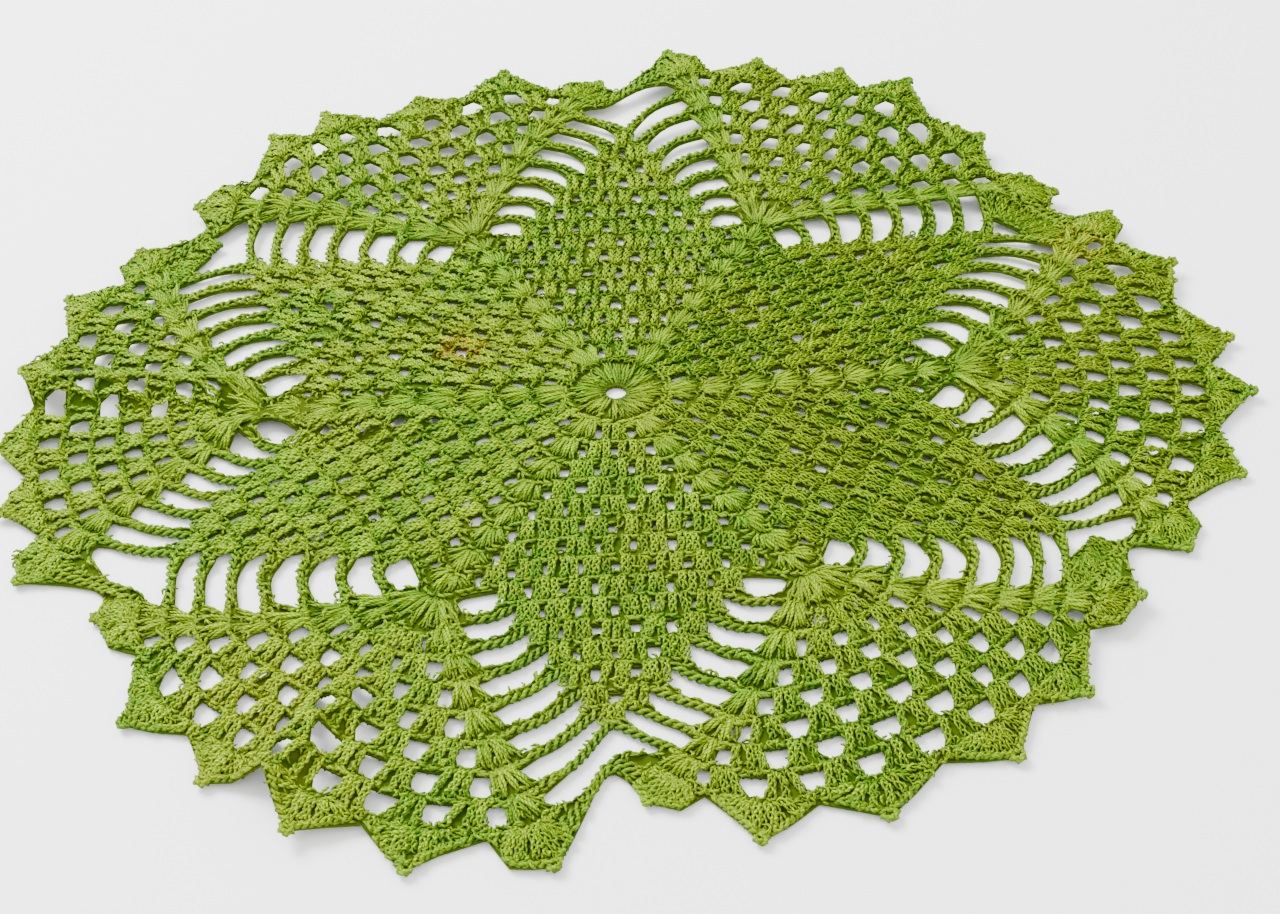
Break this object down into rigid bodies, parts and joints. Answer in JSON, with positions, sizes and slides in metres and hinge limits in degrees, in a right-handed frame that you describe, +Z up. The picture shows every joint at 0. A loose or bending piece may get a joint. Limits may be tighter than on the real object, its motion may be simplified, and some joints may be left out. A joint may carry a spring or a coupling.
{
  "type": "crochet placemat",
  "caption": "Round crochet placemat in lime cotton, with a close middle, open mesh fans, chain bars and a scalloped rim, lying on a table.",
  "frame": {"origin": "on the table, under the middle of the mat's bounding box", "axes": "+Z up from the table; -Y towards the viewer of the picture, so +X is to their right"},
  "size_m": [0.3676, 0.3656, 0.011],
  "materials": {
    "yarn": "soft sheen cotton yarn, lime green with yellow and deeper green shades"
  },
  "bodies": {
    "root": {"mat": "yarn"}
  },
  "joints": []
}
